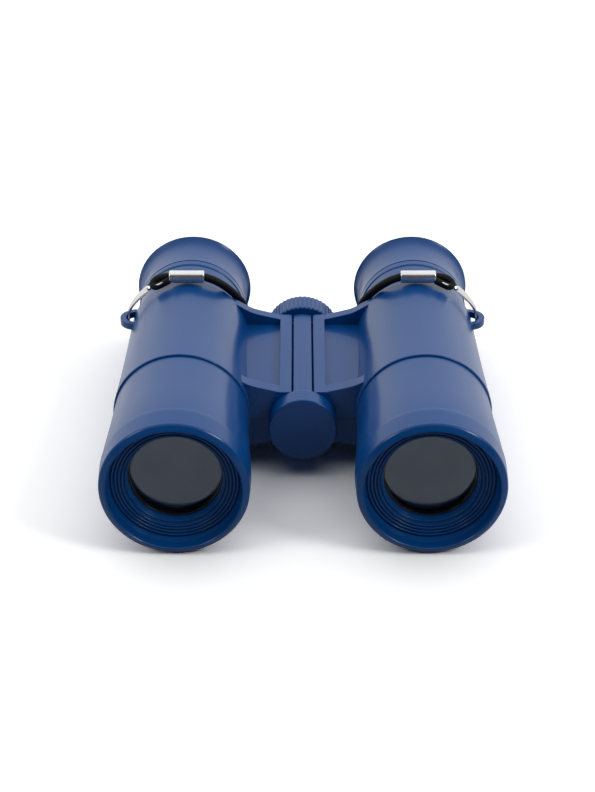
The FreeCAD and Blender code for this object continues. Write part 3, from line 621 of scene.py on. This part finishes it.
# The left end reaches the coil at its lower layer and the right end at its upper layer.
LAST_LEFT = [(-0.0169, 0.1008, -0.0157), (-0.0154, 0.1052, -0.0152)]
LAST_RIGHT = [(-0.0169, 0.1008, -0.0149), (-0.0154, 0.1052, -0.0130)]
COIL_STATION = 0.1082   # the coil's middle, behind the front rims
COIL_RADII = [0.01325, 0.0110, 0.00875]
COIL_TURNS = 6.5
COIL_PITCH = 0.00225    # height of the upper layer over the lower
COIL_CLEAR = 0.00055    # air between the table and the lower layer
CLIMB_AT = len(COIL_RADII) - 0.1    # turns wound before it climbs to the upper layer
TURN_POINTS = 16
SHIFT = 0.15            # share of a turn in which the cord moves over or up
CORD_FINENESS = 14


def table_under(station):
    """The table's height, over the barrel axes, at a distance behind the front rims."""
    return table_rise * (station - FLARE_STATION) - AXIS_HEIGHT


def settled(share):
    """Eases a share of a move from 0 to 1."""
    share = min(max(share, 0.0), 1.0)
    return share * share * (3 - 2 * share)


def coil_point(turns, radii):
    """A point of the coil. Each turn has its own radius and moves over in its first part."""
    turn = min(int(turns), len(radii) - 1)
    before = radii[max(turn - 1, 0)]
    radius = before + (radii[turn] - before) * settled((turns - turn) / SHIFT)
    radius /= math.cos(math.pi / TURN_POINTS)    # the spline runs a little inside its points
    angle = math.pi - 2 * math.pi * turns
    station = COIL_STATION + radius * math.sin(angle)
    layer = settled((turns - CLIMB_AT) / SHIFT)
    height = table_under(station) + COIL_CLEAR + CORD_D / 2 + layer * COIL_PITCH
    return place(radius * math.cos(angle), station, height)


turn_radii = COIL_RADII + COIL_RADII[::-1]
coil = [coil_point(step / TURN_POINTS, turn_radii)
        for step in range(int(COIL_TURNS * TURN_POINTS) + 1)]
start = [place(*spot) for spot in CORD_END + LAST_LEFT]
end = [place(-x, station, height) for x, station, height in reversed(CORD_END + LAST_RIGHT)]
route = start + coil + end

STRANDS = 8
AROUND = 28
BRAID_PITCH = 0.0092
BRAID_RELIEF = 0.00011
BRAID_MEAN = 0.6        # the relief's middle height lies on the cord's true radius
STRAND_ROUND = 0.6      # power of the sine across a strand: less is fuller
STRAND_ENDS = 0.65      # height of a strand where it dips under, as a share of its crown


def braid_height(along, angle):
    """Height of a braid with two crossing sets of strands that go over and under in turn."""
    lean = 2 * math.pi * along / BRAID_PITCH
    first = STRANDS * (angle + lean) / (2 * math.pi)
    second = STRANDS * (angle - lean) / (2 * math.pi)
    over = (math.floor(first) + math.floor(second)) % 2 == 0
    across = (first if over else second) % 1
    length = (second if over else first) % 1
    crown = STRAND_ENDS + (1 - STRAND_ENDS) * math.sin(math.pi * length)
    return math.sin(math.pi * across) ** STRAND_ROUND * crown


def braided(name, points, thickness, material):
    """A braided cord: a tube along the route's smooth line, raised by its strands.

    Returns the linked object and the points of the line.
    """
    spots = centreline(points, CORD_FINENESS)
    form = bmesh.new()
    layer = form.loops.layers.uv.new("braid")
    sideways = (spots[1] - spots[0]).orthogonal().normalized()
    rings = []
    along = []
    travelled = 0.0
    for number, spot in enumerate(spots):
        ahead = spots[min(number + 1, len(spots) - 1)] - spots[max(number - 1, 0)]
        ahead.normalize()
        sideways = (sideways - ahead * sideways.dot(ahead)).normalized()
        upwards = ahead.cross(sideways)
        if number:
            travelled += (spot - spots[number - 1]).length
        ring = []
        for step in range(AROUND):
            angle = 2 * math.pi * step / AROUND
            raised = (braid_height(travelled, angle) - BRAID_MEAN) * BRAID_RELIEF
            outwards = sideways * math.cos(angle) + upwards * math.sin(angle)
            ring.append(form.verts.new(spot + outwards * (thickness / 2 + raised)))
        rings.append(ring)
        along.append(travelled)
    for number in range(len(rings) - 1):
        near, far = rings[number], rings[number + 1]
        for step in range(AROUND):
            beside = (step + 1) % AROUND
            face = form.faces.new((near[step], near[beside], far[beside], far[step]))
            corners = ((step, number), (step + 1, number), (step + 1, number + 1),
                       (step, number + 1))
            for loop, (turn, stage) in zip(face.loops, corners):
                loop[layer].uv = (turn / AROUND, along[stage] / BRAID_PITCH)
    form.faces.new(list(reversed(rings[0])))
    form.faces.new(rings[-1])
    return show(name, form, material), spots


def cord_material():
    """Black polyester yarn: fine filaments that lean across the cord, and a dull finish."""
    material, tree, output = new_material("braided_polyester")
    chart = put(tree, "TexCoord")
    leaning = put(tree, "Mapping", {"Vector": chart.outputs["UV"], "Scale": (60, 60, 1),
                                    "Rotation": (0, 0, 0.78)})
    filaments = put(tree, "TexNoise", {"Vector": leaning.outputs["Vector"], "Scale": 1.6,
                                       "Detail": 3.0})
    yarn = put(tree, "Mix", {"Factor": filaments.outputs["Fac"], "A": (0.0010, 0.0011, 0.0017, 1),
                             "B": (0.0040, 0.0043, 0.0062, 1)}, data_type="RGBA")
    dull = put(tree, "MapRange", {"Value": filaments.outputs["Fac"], "To Min": 0.55,
                                  "To Max": 0.75})
    fibres = put(tree, "Bump", {"Height": filaments.outputs["Fac"], "Strength": 0.5,
                                "Distance": 0.00005})
    cloth = put(tree, "BsdfPrincipled", {"Base Color": yarn.outputs["Result"],
                                         "Roughness": dull.outputs["Result"],
                                         "Specular IOR Level": 0.25,
                                         "Normal": fibres.outputs["Normal"]})
    tree.links.new(cloth.outputs["BSDF"], output.inputs["Surface"])
    return material


polyester = cord_material()
neck_cord, cord_line = braided("neck_cord", route, CORD_D, polyester)
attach(neck_cord, "glasses")
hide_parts("neck_cord_left", "neck_cord_right", "neck_cord_coil")
finish_node("coil_tie", black)

LOOP_D = 0.0020
LOOP = [(-0.03724, 0.0826, 0.01825), (-0.0396, 0.0823, 0.0181), (-0.0413, 0.0821, 0.0173),
        (-0.0421, 0.0813, 0.0163), (-0.0413, 0.0803, 0.0159), (-0.0394, 0.0803, 0.0167),
        (-0.03724, 0.08075, 0.0178)]
for side, sign in (("left", 1), ("right", -1)):
    bends = [place(sign * x, station, height) for x, station, height in LOOP]
    loop = braided("loop_" + side, bends, LOOP_D, polyester)[0]
    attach(loop, "glasses")
    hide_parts("cord_loop_" + side)
